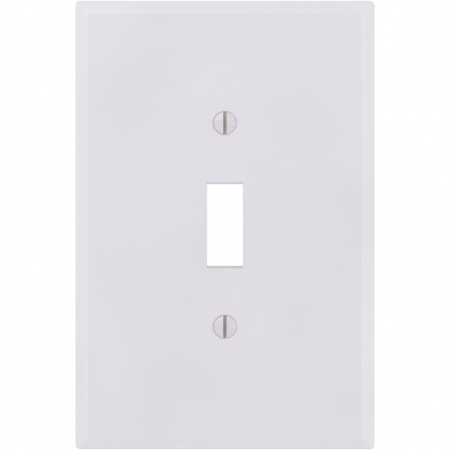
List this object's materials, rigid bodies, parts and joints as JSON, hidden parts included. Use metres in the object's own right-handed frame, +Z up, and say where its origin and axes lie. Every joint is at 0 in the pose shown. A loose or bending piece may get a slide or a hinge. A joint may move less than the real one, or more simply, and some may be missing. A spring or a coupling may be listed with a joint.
{
  "type": "toggle switch wall plate",
  "caption": "Oversize wall plate with a sloping border and a central lever opening, held by captive oval-head slotted screws that turn and lift.",
  "frame": {"origin": "centre of the plate on the wall plane, which is the plane of the rim's back edge", "axes": "+Z up along the plate's height, -Y out of the wall through the front face, +X to the right seen from the front"},
  "size_m": [0.0888, 0.0136, 0.1334],
  "materials": {
    "plate_plastic": "smooth semi-gloss white moulding",
    "painted_screw_steel": "white painted head on a zinc plated steel screw",
    "washer_plastic": "natural translucent white nylon"
  },
  "bodies": {
    "plate_body": {"plate": "plate_plastic"},
    "upper_washer_body": {"upper_retaining_washer": "washer_plastic"},
    "upper_screw_body": {"upper_screw": "painted_screw_steel"},
    "lower_washer_body": {"lower_retaining_washer": "washer_plastic"},
    "lower_screw_body": {"lower_screw": "painted_screw_steel"}
  },
  "joints": [
    {"name": "upper_screw_lift", "type": "slide", "parent": "plate_body", "child": "upper_washer_body", "axis": [0, -1, 0], "range_m": [0, 0.001]},
    {"name": "upper_screw_turn", "type": "hinge", "parent": "upper_washer_body", "child": "upper_screw_body", "pos_m": [0, 0, 0.03016], "axis": [0, 1, 0], "continuous": true},
    {"name": "lower_screw_lift", "type": "slide", "parent": "plate_body", "child": "lower_washer_body", "axis": [0, -1, 0], "range_m": [0, 0.001]},
    {"name": "lower_screw_turn", "type": "hinge", "parent": "lower_washer_body", "child": "lower_screw_body", "pos_m": [0, 0, -0.03016], "axis": [0, 1, 0], "continuous": true}
  ]
}
